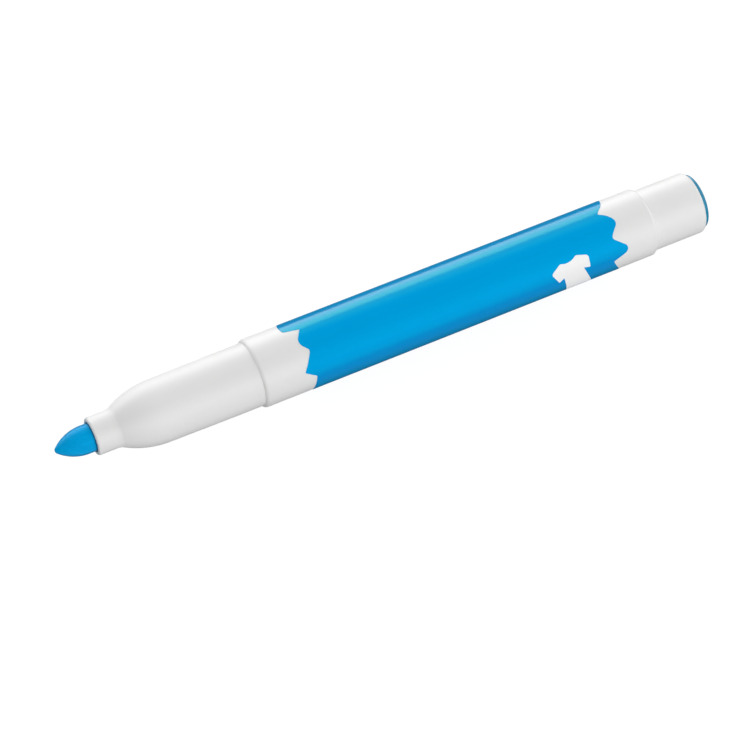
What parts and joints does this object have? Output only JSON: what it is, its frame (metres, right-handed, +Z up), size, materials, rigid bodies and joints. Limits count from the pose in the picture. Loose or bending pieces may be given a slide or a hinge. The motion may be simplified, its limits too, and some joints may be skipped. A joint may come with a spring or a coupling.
{
  "type": "fabric marking pen",
  "caption": "Round fibre-tip fabric marker without its cap: white moulded barrel with a stepped neck and tail, blue print with torn-looking ends and a shirt window, pointed blue nib and plug.",
  "frame": {"origin": "below the middle of the pen's length, on the surface that the pen lies on", "axes": "+X along the pen from the nib to the rear plug, +Z up from the surface, the shirt window faces -Y"},
  "size_m": [0.1278, 0.0128, 0.0129],
  "materials": {
    "barrel_plastic": "satin white moulded polypropylene",
    "print_ink": "smooth satin blue transfer film",
    "nib_fibre": "bonded polyester fibre soaked with blue ink, matt",
    "core_fibre": "lengthwise fibre soaked with blue ink, matt",
    "wrap_film": "thin clear film",
    "tube_plastic": "thin natural plastic tube",
    "plug_plastic": "satin blue moulded polypropylene"
  },
  "bodies": {
    "root": {"barrel": "barrel_plastic", "print_film": "print_ink", "nib": "nib_fibre", "ink_core": "core_fibre", "core_wrap": "wrap_film", "breather_tube": "tube_plastic", "rear_plug": "plug_plastic"}
  },
  "joints": []
}
